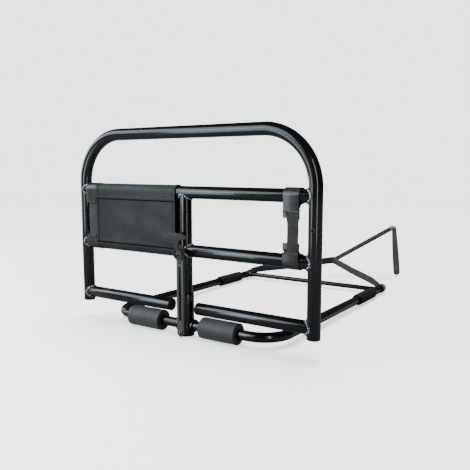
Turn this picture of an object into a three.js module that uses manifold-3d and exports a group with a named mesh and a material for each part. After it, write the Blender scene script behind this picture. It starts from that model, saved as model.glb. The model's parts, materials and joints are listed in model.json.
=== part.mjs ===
// Bed assist rail: an upright hoop of steel tube on a U-shaped base that slides under a mattress.
// Millimetres, +X along the rail, +Y under the mattress, +Z up.
// The origin is the centre of the post's foot, on the surface that the base stands on.

import * as THREE from 'three';
import { mergeVertices } from 'three/addons/utils/BufferGeometryUtils.js';
import Module from 'manifold-3d';

const wasm = await Module();
wasm.setup();

// ---------------------------------------------------------------- driving dimensions

const GAP = 0.3;                  // air between neighbouring pieces
const WALL = 1.5;                 // wall of every steel tube
const SIDES = 20;                 // sides of a round tube
const CORNER_STEPS = 8;           // steps round each bent corner

// upright hoop and its bars
const RAIL_R = 15.9;              // 1 1/4 inch tube
const LEG_X = 359;                // leg centrelines
const TOP_Z = 520;
const TOP_BEND = 132;
const LEG_FOOT_Z = 51;
const PLUG_FLANGE = 2.7;          // head of a plastic tube plug
const BAR_PITCH = 148;
const LOW_BAR_Z = 222;
const HIGH_BAR_Z = LOW_BAR_Z + BAR_PITCH;
const STUB_Z = LOW_BAR_Z - BAR_PITCH;
const STUB_ENDS = { left: -50, right: 38 };
const LEG_HOLE = { z: 296.5, r: 3.5 };

// base
const BASE_R = 12.7;              // 1 inch tube
const BASE_Z = 27.5;              // front bar axis, also the foam pads' radius
const SIDE_X = 261;
const BASE_BEND = 75;
const BASE_END_Y = 768;
const GRIP = { r: 17.5, from: 530, to: 660 };
const REAR_BAR = { r: 8, y: 724 };
const PADS = { left: [-185, -78], right: [52.5, 159.5] };

// pivot between the post and the front bar
const SLEEVE = { r: 19.3, bore: 16.4, foot: 0.2, top: 111 };
const BUSH = { r: 15.2, bore: 13.2, halfLength: 12 };
const POST_FOOT_Z = 43.5;
const FOOT_PLATE = { r: SLEEVE.bore - 0.6, top: 8 };
const COLLAR = { r: 17, from: 20.2, to: 26.2 };
const ON_BAR_BORE = BASE_R + 0.5; // bore of everything slipped over the base tube

// release: handle, rod, lock pin and spring
const CHANNEL = { halfWidth: 10.85, back: -19.6, front: -27.5, top: 232, corner: 3 };
const CAVITY = { halfWidth: 7.3, frontWall: 1.6, backWall: 1.4 };
const GROOVE = { halfWidth: 4, from: 42, to: 183 };
const DRAIN_HOLE = { z: 192, r: 2.2 };
const SPACER = { halfWidth: 8, from: 186, to: 204 };
const LOW_BOLT = { z: 12, headR: 5.5, tipY: -13.8 };
const HANDLE_BOLT = { z: 217, headR: 5.8, tipY: CHANNEL.back - 2 };
const BOLT = { shankR: 3, head: 3.3, holeR: 3.4 };
const HANDLE = { thick: 6.5, leanDeg: 13, back: CHANNEL.front - 3.8, boltStandoff: 1.7 };
const HANDLE_FACE = {
  eyeR: 14.5, eyeEnds: 0.87, neck: { r: 7, from: 20, to: 25 },
  wing: [
    [7.5, 36, 17, 40], [25, 42.5, 32, 42.5], [36.5, 42.5, 34.5, 46.5], [28, 53.5, 13, 55.5], [5, 56, 0, 55.5],
  ],
};
const TRAVEL = 12;
const ROD = { halfWidth: 6, front: CHANNEL.front + 2, back: CHANNEL.back - 1.8, past: 10.5 };
const CROSS_PIN = { z: 150, r: 2.6, tipY: 4 };
const LOCK_PIN = { r: 5, tip: BASE_Z + ON_BAR_BORE, top: 158, headR: 9, headTop: 161 };
const SPRING = { r: 6.5, wire: 0.7, turns: 7, top: 200 };
const SLIDE_PLAY = 0.4;           // radial play round the release's moving pins

// soft goods on the bars
const COVER = { from: -299, to: -20, r: 18.6, inner: 16.7 };
const LOOP = { r: 19.4, inner: 16.7 };
const STRAPS = {
  left: { loop: [-341, -302], band: [-332, -304] },
  right: { loop: [286, 328], band: [296.5, 326] },
};
const LOOP_TIP = { high: 325, low: 260, solid: 12 };
const BAND_THICK = 3;

// under-mattress strap of flat webbing: the branches stand on edge, the tail leans over nearly flat
const WEB = { width: 25.4, thick: 2 };
const ANCHOR = { r: 15, from: 739, to: 764 };
const JUNCTION = { at: [0, 945, 63], half: [11.5, 7, 14] };
const TAIL = { from: [19, 953, 73], to: [195, 1048, 191], leanDeg: -62 };
const DROP = { top: [207, 1052, 200], foot: [214, 1088, 2.5], turnDeg: 33, thick: 3.5, corner: 11 };

// ---------------------------------------------------------------- colours

const steel = (color, roughness) => new THREE.MeshStandardMaterial({ color, roughness, metalness: 0.6 });
const plain = (color, roughness) => new THREE.MeshStandardMaterial({ color, roughness, metalness: 0 });
const BLACK_STEEL = steel(0x0c0d10, 0.25);
const BRIGHT_STEEL = steel(0xa9adb3, 0.35);
const DARK_PLASTIC = plain(0x232427, 0.55);
const PALE_NYLON = plain(0xd9d6cc, 0.5);
const FOAM = plain(0x2b2c2f, 0.9);
const GRIP_RUBBER = plain(0x1d1c1b, 0.85);
const COVER_CLOTH = plain(0x303236, 0.7);
const GREY_WEB = plain(0x4c4f53, 0.6);
const BLACK_WEB = plain(0x1e1f22, 0.8);

// ---------------------------------------------------------------- geometry helpers

const v3 = (x, y, z) => new THREE.Vector3(x, y, z);
const X = v3(1, 0, 0);
const Y = v3(0, 1, 0);
const Z = v3(0, 0, 1);

function circle(radius, sides = SIDES) {
  return Array.from({ length: sides }, (_, i) => {
    const turn = (2 * Math.PI * i) / sides;
    return new THREE.Vector2(radius * Math.cos(turn), radius * Math.sin(turn));
  });
}

const anticlockwise = (points) => (THREE.ShapeUtils.isClockWise(points) ? points.toReversed() : points);

function outline(points, hole) {
  const shape = new THREE.Shape(anticlockwise(points));
  if (hole) shape.holes.push(new THREE.Path(anticlockwise(hole)));
  return shape;
}

const ring = (outer, inner, sides) => outline(circle(outer, sides), circle(inner, sides));
const disc = (radius, sides) => outline(circle(radius, sides));

// a straight prism of the shape, from one point to another
function prism(shape, from, to) {
  const along = to.clone().sub(from);
  const solid = new THREE.ExtrudeGeometry(shape, { depth: along.length(), bevelEnabled: false });
  solid.applyQuaternion(new THREE.Quaternion().setFromUnitVectors(Z, along.normalize()));
  return solid.translate(from.x, from.y, from.z);
}

// a path whose sections sit exactly at the points given
class Stations extends THREE.Curve {
  constructor(points) {
    super();
    this.points = points;
  }

  getPoint(t, target = new THREE.Vector3()) {
    const place = t * (this.points.length - 1);
    const i = Math.min(Math.floor(place), this.points.length - 2);
    return target.lerpVectors(this.points[i], this.points[i + 1], place - i);
  }

  getPointAt(u, target) {
    return this.getPoint(u, target);
  }

  getTangentAt(u, target = new THREE.Vector3()) {
    const i = Math.round(u * (this.points.length - 1));
    const before = this.points[Math.max(i - 1, 0)];
    const here = this.points[i];
    const after = this.points[Math.min(i + 1, this.points.length - 1)];
    const into = here.clone().sub(before).normalize();
    const out = after.clone().sub(here).normalize();
    return target.addVectors(into, out).normalize();
  }
}

function sweep(shape, points) {
  const extrudePath = new Stations(points);
  return new THREE.ExtrudeGeometry(shape, { steps: points.length - 1, extrudePath });
}

// points round a bend, both ends included
function bend(centre, radius, across, up, fromTurn, toTurn) {
  return Array.from({ length: CORNER_STEPS + 1 }, (_, i) => {
    const turn = fromTurn + ((toTurn - fromTurn) * i) / CORNER_STEPS;
    return centre.clone()
      .addScaledVector(across, radius * Math.cos(turn))
      .addScaledVector(up, radius * Math.sin(turn));
  });
}

function box(low, high) {
  const size = high.map((value, i) => value - low[i]);
  const middle = high.map((value, i) => (value + low[i]) / 2);
  return new THREE.BoxGeometry(...size).translate(...middle);
}

function toManifold(geometry) {
  const bare = geometry.clone();
  bare.deleteAttribute('normal');
  bare.deleteAttribute('uv');
  const merged = mergeVertices(bare, 1e-4);
  return new wasm.Manifold(new wasm.Mesh({
    numProp: 3,
    vertProperties: new Float32Array(merged.attributes.position.array),
    triVerts: new Uint32Array(merged.index.array),
  }));
}

function fromManifold(solid) {
  const mesh = solid.getMesh();
  const geometry = new THREE.BufferGeometry();
  geometry.setAttribute('position', new THREE.BufferAttribute(mesh.vertProperties, 3));
  geometry.setIndex(new THREE.BufferAttribute(mesh.triVerts, 1));
  geometry.computeVertexNormals();
  return geometry;
}

function cut(body, ...tools) {
  return fromManifold(tools.reduce((rest, tool) => rest.subtract(toManifold(tool)), toManifold(body)));
}

function join(first, ...others) {
  return fromManifold(others.reduce((sum, other) => sum.add(toManifold(other)), toManifold(first)));
}

// a solid that cuts a bar's end to fit a round tube of the radius, with the usual gap
const saddle = (radius, from, to) => prism(disc((radius + GAP) / Math.cos(Math.PI / 32), 32), from, to);

const group = new THREE.Group();
group.name = 'bed_assist_rail';

function add(name, geometry, material) {
  const mesh = new THREE.Mesh(geometry, material);
  mesh.name = name;
  group.add(mesh);
  return mesh;
}

const sign = { left: -1, right: 1 };
const railTube = ring(RAIL_R, RAIL_R - WALL);
const legSaddle = (x) => saddle(RAIL_R, v3(x, 0, 0), v3(x, 0, TOP_Z));
const hole = (radius, from, to) => prism(disc(radius, 16), from, to);

// a plastic plug in a tube's open end: a head outside and a shank inside
function tubePlug(end, outward, tubeR) {
  const shank = prism(disc(tubeR - WALL - GAP, 16), end.clone().addScaledVector(outward, -12),
    end.clone().addScaledVector(outward, 1));
  const from = end.clone().addScaledVector(outward, GAP);
  const head = prism(disc(tubeR), from, from.clone().addScaledVector(outward, PLUG_FLANGE));
  return join(head, shank);
}

// ---------------------------------------------------------------- upright hoop

const SHOULDER_X = LEG_X - TOP_BEND;
const SHOULDER_Z = TOP_Z - TOP_BEND;
const HOOP_PATH = [
  v3(-LEG_X, 0, LEG_FOOT_Z),
  ...bend(v3(-SHOULDER_X, 0, SHOULDER_Z), TOP_BEND, X, Z, Math.PI, Math.PI / 2),
  ...bend(v3(SHOULDER_X, 0, SHOULDER_Z), TOP_BEND, X, Z, Math.PI / 2, 0),
  v3(LEG_X, 0, LEG_FOOT_Z),
];

function addHoop() {
  const buttonHoles = [-LEG_X, LEG_X].map((x) => hole(LEG_HOLE.r, v3(x, -RAIL_R - 2, LEG_HOLE.z),
    v3(x, -RAIL_R / 2, LEG_HOLE.z)));
  add('rail_loop', cut(sweep(railTube, HOOP_PATH), ...buttonHoles), BLACK_STEEL);
  for (const side of ['left', 'right']) {
    const foot = v3(sign[side] * LEG_X, 0, LEG_FOOT_Z);
    add(`leg_plug_${side}`, tubePlug(foot, v3(0, 0, -1), RAIL_R), DARK_PLASTIC);
  }
}

function addBars() {
  const high = prism(railTube, v3(-LEG_X, 0, HIGH_BAR_Z), v3(LEG_X, 0, HIGH_BAR_Z));
  add('upper_crossbar', cut(high, sweep(disc(RAIL_R + GAP), HOOP_PATH)), BLACK_STEEL);
  for (const side of ['left', 'right']) {
    const leg = sign[side] * LEG_X;
    const low = prism(railTube, v3(leg, 0, LOW_BAR_Z), v3(0, 0, LOW_BAR_Z));
    add(`lower_crossbar_${side}`, cut(low, legSaddle(leg), legSaddle(0)), BLACK_STEEL);
    const end = v3(STUB_ENDS[side], 0, STUB_Z);
    const stub = prism(railTube, v3(leg, 0, STUB_Z), end);
    add(`bottom_stub_${side}`, cut(stub, legSaddle(leg)), BLACK_STEEL);
    add(`stub_cap_${side}`, tubePlug(end, v3(-sign[side], 0, 0), RAIL_R), DARK_PLASTIC);
  }
}

// ---------------------------------------------------------------- post and pivot

// a slot for the cross pin, through everything between two depths
function pinSlot(fromY, toY) {
  const halfWidth = CROSS_PIN.r + 0.7;
  const spare = CROSS_PIN.r + 1.4;
  return box([-halfWidth, fromY, CROSS_PIN.z - spare], [halfWidth, toY, CROSS_PIN.z + TRAVEL + spare]);
}

function addPost() {
  const post = prism(railTube, v3(0, 0, POST_FOOT_Z), v3(0, 0, HIGH_BAR_Z));
  const barSaddle = saddle(RAIL_R, v3(-40, 0, HIGH_BAR_Z), v3(40, 0, HIGH_BAR_Z));
  add('centre_post', cut(post, barSaddle, pinSlot(-RAIL_R - 2, -RAIL_R / 2)), BLACK_STEEL);

  const sleeve = prism(ring(SLEEVE.r, SLEEVE.bore, 28), v3(0, 0, SLEEVE.foot), v3(0, 0, SLEEVE.top));
  const barHole = prism(disc(BUSH.r + 0.5, 28), v3(-30, 0, BASE_Z), v3(30, 0, BASE_Z));
  const boltHole = hole(BOLT.holeR, v3(0, -30, LOW_BOLT.z), v3(0, -10, LOW_BOLT.z));
  add('pivot_sleeve', cut(sleeve, barHole, boltHole), BLACK_STEEL);
  add('post_foot', prism(disc(FOOT_PLATE.r), v3(0, 0, 0), v3(0, 0, FOOT_PLATE.top)), DARK_PLASTIC);

  const ends = [-BUSH.halfLength, BUSH.halfLength].map((x) => v3(x, 0, BASE_Z));
  const bush = prism(ring(BUSH.r, BUSH.bore, 24), ...ends);
  const pinHole = hole(LOCK_PIN.r + SLIDE_PLAY, v3(0, 0, BASE_Z), v3(0, 0, BASE_Z + 2 * BUSH.r));
  add('pivot_bush', cut(bush, pinHole), PALE_NYLON);
}

// a bolt through the front of the post, with its head standing on the face at headY
function bolt({ z, headR, tipY }, headY) {
  const head = prism(disc(headR, 18), v3(0, headY, z), v3(0, headY - BOLT.head, z));
  return join(head, prism(disc(BOLT.shankR, 12), v3(0, headY - 1, z), v3(0, tipY, z)));
}

function addChannel() {
  const { halfWidth, back, front, top, corner } = CHANNEL;
  const face = new THREE.Shape();
  face.absarc(0, LOW_BOLT.z, halfWidth, Math.PI, 2 * Math.PI);
  face.absarc(halfWidth - corner, top - corner, corner, 0, Math.PI / 2);
  face.absarc(corner - halfWidth, top - corner, corner, Math.PI / 2, Math.PI);
  const depth = back - front;
  const bar = new THREE.ExtrudeGeometry(face, { depth, bevelEnabled: false, curveSegments: 5 });
  bar.rotateX(Math.PI / 2).translate(0, back, 0);
  const throughFront = [front - 1, front + 2];
  const cavity = box([-CAVITY.halfWidth, front + CAVITY.frontWall, GROOVE.from],
    [CAVITY.halfWidth, back - CAVITY.backWall, top + 1]);
  const groove = box([-GROOVE.halfWidth, throughFront[0], GROOVE.from],
    [GROOVE.halfWidth, throughFront[1], GROOVE.to]);
  const boltSlot = box([-BOLT.holeR, throughFront[0], HANDLE_BOLT.z - 1.5 * BOLT.holeR],
    [BOLT.holeR, throughFront[1], top + 1]);
  const boltHole = hole(BOLT.holeR, v3(0, front - 1, LOW_BOLT.z), v3(0, back + 1, LOW_BOLT.z));
  const atDrain = (y) => v3(0, y, DRAIN_HOLE.z);
  const drainHole = hole(DRAIN_HOLE.r, ...throughFront.map(atDrain));
  const cutters = [cavity, groove, boltSlot, pinSlot(back - 2, back + 1), boltHole, drainHole];
  add('front_channel', cut(bar, ...cutters), BLACK_STEEL);

  const spacer = box([-SPACER.halfWidth, back + GAP, SPACER.from], [SPACER.halfWidth, -12, SPACER.to]);
  add('channel_spacer', cut(spacer, legSaddle(0)), DARK_PLASTIC);
  add('channel_bolt', bolt(LOW_BOLT, front - GAP), BRIGHT_STEEL);
}

// ---------------------------------------------------------------- release

// the handle's face: an eye at its foot, a neck and two swept wings
function handleFace() {
  const face = new THREE.Shape();
  const { eyeR, eyeEnds, neck, wing } = HANDLE_FACE;
  const eyeEnd = [eyeR * Math.cos(eyeEnds), eyeR * Math.sin(eyeEnds)];
  const side = [[neck.r, 15, neck.r, neck.from], [neck.r, neck.to, neck.r, neck.to], ...wing];
  face.moveTo(0, -eyeR);
  face.absarc(0, 0, eyeR, -Math.PI / 2, eyeEnds);
  for (const curve of side) face.quadraticCurveTo(...curve);
  const points = [eyeEnd, ...side.map((curve) => curve.slice(2))];
  for (let i = side.length - 1; i >= 0; i -= 1) {
    face.quadraticCurveTo(-side[i][0], side[i][1], -points[i][0], points[i][1]);
  }
  face.absarc(0, 0, eyeR, Math.PI - eyeEnds, 1.5 * Math.PI);
  return face;
}

function addRelease() {
  const { thick, leanDeg, back, boltStandoff } = HANDLE;
  const lean = THREE.MathUtils.degToRad(leanDeg);
  const throughY = (radius, z) => hole(radius, v3(0, -50, z), v3(0, -18, z));
  const asDrawn = { depth: thick, bevelEnabled: false, curveSegments: 5 };
  const plate = new THREE.ExtrudeGeometry(handleFace(), asDrawn);
  plate.rotateX(Math.PI / 2 + lean).translate(0, back, HANDLE_BOLT.z);
  add('release_handle', cut(plate, throughY(BOLT.holeR, HANDLE_BOLT.z)), DARK_PLASTIC);
  add('handle_bolt', bolt(HANDLE_BOLT, back - thick / Math.cos(lean) - boltStandoff), BRIGHT_STEEL);

  const rod = box([-ROD.halfWidth, ROD.front, CROSS_PIN.z - ROD.past],
    [ROD.halfWidth, ROD.back, HANDLE_BOLT.z + ROD.past]);
  const rodHoles = [throughY(CROSS_PIN.r + SLIDE_PLAY, CROSS_PIN.z), throughY(BOLT.holeR, HANDLE_BOLT.z)];
  add('pull_rod', cut(rod, ...rodHoles), BRIGHT_STEEL);

  const pinEnds = [ROD.front, CROSS_PIN.tipY].map((y) => v3(0, y, CROSS_PIN.z));
  add('cross_pin', prism(disc(CROSS_PIN.r, 12), ...pinEnds), BRIGHT_STEEL);

  const stem = [[0, LOCK_PIN.tip], [3.6, LOCK_PIN.tip], [LOCK_PIN.r, LOCK_PIN.tip + 1.4],
    [LOCK_PIN.r, LOCK_PIN.top], [LOCK_PIN.headR, LOCK_PIN.top], [LOCK_PIN.headR, LOCK_PIN.headTop],
    [0, LOCK_PIN.headTop]].map(([r, z]) => new THREE.Vector2(r, z));
  const pin = new THREE.LatheGeometry(stem, 16).rotateX(Math.PI / 2);
  const crossHole = hole(CROSS_PIN.r + SLIDE_PLAY, v3(0, -10, CROSS_PIN.z), v3(0, 10, CROSS_PIN.z));
  add('lock_pin', cut(pin, crossHole), BRIGHT_STEEL);
}

function addLockFittings() {
  const guide = ring(RAIL_R - WALL - GAP, LOCK_PIN.r + SLIDE_PLAY);
  add('pin_guide', prism(guide, v3(0, 0, POST_FOOT_Z + 0.5), v3(0, 0, POST_FOOT_Z + 12)), PALE_NYLON);
  const stopFoot = v3(0, 0, SPRING.top + GAP);
  add('spring_stop', prism(disc(RAIL_R - WALL - GAP), stopFoot, v3(0, 0, SPRING.top + 8)), DARK_PLASTIC);

  const foot = LOCK_PIN.headTop + GAP + SPRING.wire;
  const height = SPRING.top - SPRING.wire - foot;
  const steps = SPRING.turns * 10;
  const coil = Array.from({ length: steps + 1 }, (_, i) => {
    const turn = (2 * Math.PI * SPRING.turns * i) / steps;
    return v3(SPRING.r * Math.cos(turn), SPRING.r * Math.sin(turn), foot + (height * i) / steps);
  });
  add('lock_spring', sweep(disc(SPRING.wire, 6), coil), BRIGHT_STEEL);
}

// ---------------------------------------------------------------- soft goods on the bars

const arcYZ = (z, radius, from, to, steps) => Array.from({ length: steps + 1 }, (_, i) => {
  const turn = from + ((to - from) * i) / steps;
  return new THREE.Vector2(radius * Math.cos(turn), z + radius * Math.sin(turn));
});

// a profile drawn across the bars, with its first axis along Y, run from one X to another
function acrossBars(shape, fromX, toX) {
  const solid = new THREE.ExtrudeGeometry(shape, { depth: toX - fromX, bevelEnabled: false });
  const turn = new THREE.Matrix4().makeBasis(Y, Z, X);
  return solid.applyMatrix4(turn).translate(fromX, 0, 0);
}

function addCover() {
  const band = (radius) => [
    ...arcYZ(HIGH_BAR_Z, radius, 0, Math.PI, 10),
    ...arcYZ(LOW_BAR_Z, radius, Math.PI, 2 * Math.PI, 10),
  ];
  const shape = outline(band(COVER.r), band(COVER.inner));
  add('fabric_cover', acrossBars(shape, COVER.from, COVER.to), COVER_CLOTH);
}

// a strap end folded round a bar: straight along its front, and slanting from its back to a closed tip
function barLoop(barZ, tipZ) {
  const way = Math.sign(tipZ - barZ);
  const face = (radius, drop) => {
    const turned = -way * (2 * Math.atan2(drop, radius) - Math.PI);
    const wrap = arcYZ(barZ, radius, -way * Math.PI, turned, 14);
    return [new THREE.Vector2(-radius, barZ + way * drop), ...wrap];
  };
  const drop = Math.abs(tipZ - barZ);
  return outline(face(LOOP.r, drop), face(LOOP.inner, drop - LOOP_TIP.solid));
}

function addBarStraps() {
  for (const side of ['left', 'right']) {
    const { loop, band } = STRAPS[side];
    add(`strap_loop_high_${side}`, acrossBars(barLoop(HIGH_BAR_Z, LOOP_TIP.high), ...loop), GREY_WEB);
    add(`strap_loop_low_${side}`, acrossBars(barLoop(LOW_BAR_Z, LOOP_TIP.low), ...loop), GREY_WEB);
    const foot = [band[0], -LOOP.r, LOOP_TIP.low + GAP];
    const top = [band[1], BAND_THICK - LOOP.r, LOOP_TIP.high - GAP];
    add(`strap_band_${side}`, box(foot, top), COVER_CLOTH);
  }
}

// ---------------------------------------------------------------- base

// the side tubes fall gently from the foam pads' height, so that the rear grips rest on the surface
const SIDE_SLOPE = (GRIP.r + 0.15 - BASE_Z) / (GRIP.to - BASE_BEND);
const sideZ = (y) => BASE_Z + SIDE_SLOPE * (y - BASE_BEND);
const onSide = (side, y) => v3(sign[side] * SIDE_X, y, sideZ(y));

function addBase() {
  const corner = SIDE_X - BASE_BEND;
  const path = [
    onSide('left', BASE_END_Y),
    ...bend(v3(-corner, BASE_BEND, BASE_Z), BASE_BEND, X, Y, Math.PI, 1.5 * Math.PI),
    ...bend(v3(corner, BASE_BEND, BASE_Z), BASE_BEND, X, Y, 1.5 * Math.PI, 2 * Math.PI),
    onSide('right', BASE_END_Y),
  ];
  add('base_frame', sweep(ring(BASE_R, BASE_R - WALL, 18), path), BLACK_STEEL);

  const bar = prism(disc(REAR_BAR.r, 16), onSide('left', REAR_BAR.y), onSide('right', REAR_BAR.y));
  const sideSaddle = (side) => saddle(BASE_R, onSide(side, REAR_BAR.y - 60), onSide(side, REAR_BAR.y + 60));
  add('rear_crossbar', cut(bar, sideSaddle('left'), sideSaddle('right')), BLACK_STEEL);

  for (const side of ['left', 'right']) {
    const padEnds = PADS[side].map((x) => v3(x, 0, BASE_Z));
    add(`foam_pad_${side}`, prism(ring(BASE_Z, ON_BAR_BORE, 24), ...padEnds), FOAM);
    const ends = [COLLAR.from, COLLAR.to].map((x) => v3(sign[side] * x, 0, BASE_Z));
    add(`retaining_collar_${side}`, prism(ring(COLLAR.r, ON_BAR_BORE), ...ends), BRIGHT_STEEL);
    const grip = ring(GRIP.r, ON_BAR_BORE);
    add(`rear_grip_${side}`, prism(grip, onSide(side, GRIP.from), onSide(side, GRIP.to)), GRIP_RUBBER);
    const outward = onSide(side, BASE_END_Y).sub(onSide(side, BASE_BEND)).normalize();
    add(`rear_plug_${side}`, tubePlug(onSide(side, BASE_END_Y), outward, BASE_R), DARK_PLASTIC);
    const anchor = ring(ANCHOR.r, ON_BAR_BORE);
    add(`strap_anchor_${side}`, prism(anchor, onSide(side, ANCHOR.from), onSide(side, ANCHOR.to)), BLACK_WEB);
  }
}

// ---------------------------------------------------------------- under-mattress strap

// flat webbing on its edge along hand-placed points
function webbing(points, width = WEB.width) {
  const halfX = width / 2;
  const halfY = WEB.thick / 2;
  const section = new THREE.Shape([
    new THREE.Vector2(-halfX, -halfY),
    new THREE.Vector2(halfX, -halfY),
    new THREE.Vector2(halfX, halfY),
    new THREE.Vector2(-halfX, halfY),
  ]);
  const smooth = new THREE.CatmullRomCurve3(points.map((point) => v3(...point)), false, 'centripetal');
  return sweep(section, smooth.getSpacedPoints(3 * points.length));
}

// from the anchor's inner side, out past the tube's end and in to the junction
const BRANCH = [
  [243.5, 752, 30],
  [232, 762, 33],
  [214, 777, 36],
  [176, 808, 40],
  [120, 851, 46],
  [60, 898, 55],
  [13, 934, 62],
];

// an outline drawn in a plane made solid: across is the outline's first axis, up its second
function slab(shape, depth, across, up, origin) {
  const solid = new THREE.ExtrudeGeometry(shape, { depth, bevelEnabled: false, curveSegments: 5 });
  const normal = across.clone().cross(up);
  solid.translate(0, 0, -depth / 2);
  return solid.applyMatrix4(new THREE.Matrix4().makeBasis(across, up, normal)).translate(...origin);
}

// the single strap past the junction, straight, with its face leaning
function tailStrip() {
  const along = v3(...TAIL.to).sub(v3(...TAIL.from));
  const length = along.length();
  along.normalize();
  const across = Z.clone().addScaledVector(along, -along.z).normalize();
  across.applyAxisAngle(along, THREE.MathUtils.degToRad(TAIL.leanDeg));
  const half = WEB.width / 2;
  const shape = new THREE.Shape();
  shape.moveTo(0, -half).lineTo(length, -half).lineTo(length, half).lineTo(0, half);
  return slab(shape, WEB.thick, along, across, TAIL.from);
}

// the flattened loop of webbing that hangs at the far end, with a rounded foot
function dropStrip() {
  const { top, foot, turnDeg, thick, corner } = DROP;
  const up = v3(...top).sub(v3(...foot));
  const height = up.length();
  up.normalize();
  const across = X.clone().applyAxisAngle(Z, THREE.MathUtils.degToRad(turnDeg));
  across.addScaledVector(up, -across.dot(up)).normalize();
  const half = WEB.width / 2;
  const shape = new THREE.Shape();
  shape.moveTo(-half, height);
  shape.absarc(corner - half, corner, corner, Math.PI, 1.5 * Math.PI);
  shape.absarc(half - corner, corner, corner, 1.5 * Math.PI, 2 * Math.PI);
  shape.lineTo(half, height);
  return slab(shape, thick, across, up, foot);
}

function addUnderStrap() {
  for (const side of ['left', 'right']) {
    const route = BRANCH.map(([x, y, z]) => [sign[side] * x, y, z]);
    add(`strap_branch_${side}`, webbing(route), BLACK_WEB);
  }
  const { at, half } = JUNCTION;
  const corner = (way) => at.map((value, i) => value + way * half[i]);
  add('strap_junction', box(corner(-1), corner(1)), BLACK_WEB);
  add('strap_tail', tailStrip(), BLACK_WEB);
  add('strap_drop', dropStrip(), BLACK_WEB);
}

addHoop();
addBars();
addPost();
addChannel();
addRelease();
addLockFittings();
addCover();
addBarStraps();
addBase();
addUnderStrap();

export default group;
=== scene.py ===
"""The looks of a bed assist rail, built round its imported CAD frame. Metres, +Z up."""
import json
import random
from math import copysign, cos, dist, pi, radians, sin, sqrt

import bmesh
import bpy
from mathutils import Matrix, Vector, noise

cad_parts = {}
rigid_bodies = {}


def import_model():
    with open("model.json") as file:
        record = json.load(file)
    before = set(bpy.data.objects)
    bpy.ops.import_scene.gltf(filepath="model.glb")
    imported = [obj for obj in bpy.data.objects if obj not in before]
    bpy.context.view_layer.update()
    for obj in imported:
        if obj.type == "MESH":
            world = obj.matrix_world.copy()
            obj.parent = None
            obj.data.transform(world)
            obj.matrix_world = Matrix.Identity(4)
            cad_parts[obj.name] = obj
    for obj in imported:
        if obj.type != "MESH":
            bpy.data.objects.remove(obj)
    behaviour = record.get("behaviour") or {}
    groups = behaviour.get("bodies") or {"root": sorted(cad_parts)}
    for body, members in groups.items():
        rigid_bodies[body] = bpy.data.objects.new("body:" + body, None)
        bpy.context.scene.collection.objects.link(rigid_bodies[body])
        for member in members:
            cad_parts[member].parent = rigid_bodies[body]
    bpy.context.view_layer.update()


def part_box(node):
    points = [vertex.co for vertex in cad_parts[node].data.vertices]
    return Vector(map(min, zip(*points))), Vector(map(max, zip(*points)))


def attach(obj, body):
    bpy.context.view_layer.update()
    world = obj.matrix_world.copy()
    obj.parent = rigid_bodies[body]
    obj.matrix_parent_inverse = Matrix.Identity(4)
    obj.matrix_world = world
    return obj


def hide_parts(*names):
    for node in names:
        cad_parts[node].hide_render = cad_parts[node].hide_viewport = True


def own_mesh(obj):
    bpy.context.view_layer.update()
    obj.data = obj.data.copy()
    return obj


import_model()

X, Y, Z = Vector((1, 0, 0)), Vector((0, 1, 0)), Vector((0, 0, 1))
MM = 0.001


def low(node):
    return Vector(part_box(node)[0])


def high(node):
    return Vector(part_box(node)[1])


def middle(node):
    return (low(node) + high(node)) / 2


def linked(name, data):
    obj = bpy.data.objects.new(name, data)
    bpy.context.collection.objects.link(obj)
    return obj


# ---- places and sizes, from the frame

RAIL_R = (high("upper_crossbar").z - low("upper_crossbar").z) / 2
LEG_X = high("rail_loop").x - RAIL_R
LEG_FOOT = low("rail_loop").z
TOP_Z = high("rail_loop").z - RAIL_R
TOP_BEND = 132 * MM
HIGH_BAR = middle("upper_crossbar").z
LOW_BAR = middle("lower_crossbar_left").z
STUB_Z = middle("bottom_stub_left").z
LEG_HOLE_Z = 296.5 * MM
LEG_HOLE_R = 3.5 * MM
SLEEVE_R = high("pivot_sleeve").x
SLEEVE_TOP = high("pivot_sleeve").z
BASE_Z = high("foam_pad_left").z / 2
BASE_R = 12.7 * MM
BASE_BEND = 75 * MM
BASE_BORE = BASE_R + 0.1 * MM
COLLAR_R = 17 * MM
GRIP_R = 17.5 * MM
SIDE_X = high("base_frame").x - BASE_R
REAR_Y = middle("rear_crossbar").y
REAR_Z = middle("rear_crossbar").z
REAR_R = (high("rear_crossbar").z - low("rear_crossbar").z) / 2
BASE_END_Y = high("base_frame").y
SIDE_SLOPE = (REAR_Z - BASE_Z) / (REAR_Y - BASE_BEND)
SIDES = {"left": -1, "right": 1}


def on_side(side, y):
    """A point on the axis of one of the base's side tubes."""
    return Vector((SIDES[side] * SIDE_X, y, BASE_Z + SIDE_SLOPE * (y - BASE_BEND)))


def side_span(side, node):
    return on_side(side, low(node).y), on_side(side, high(node).y)


def front_span(node):
    return [Vector((x, 0, BASE_Z)) for x in (low(node).x, high(node).x)]


# ---- camera

CAMERA_AT = (878.3 * MM, -1121.2 * MM, 435.2 * MM)
CAMERA_TURN = (90 - 6.99, 0.0, 33.05)
LENS = 43.03


def add_camera():
    data = bpy.data.cameras.new("camera")
    data.lens = LENS
    data.sensor_width = 36
    camera = linked("camera", data)
    camera.location = CAMERA_AT
    camera.rotation_euler = [radians(turn) for turn in CAMERA_TURN]
    bpy.context.scene.camera = camera


add_camera()

# ---- materials


def rgba(colour):
    """A colour socket's value from a shade of three numbers. A node's output stays as it is."""
    return (*colour, 1) if isinstance(colour, tuple) else colour


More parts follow.
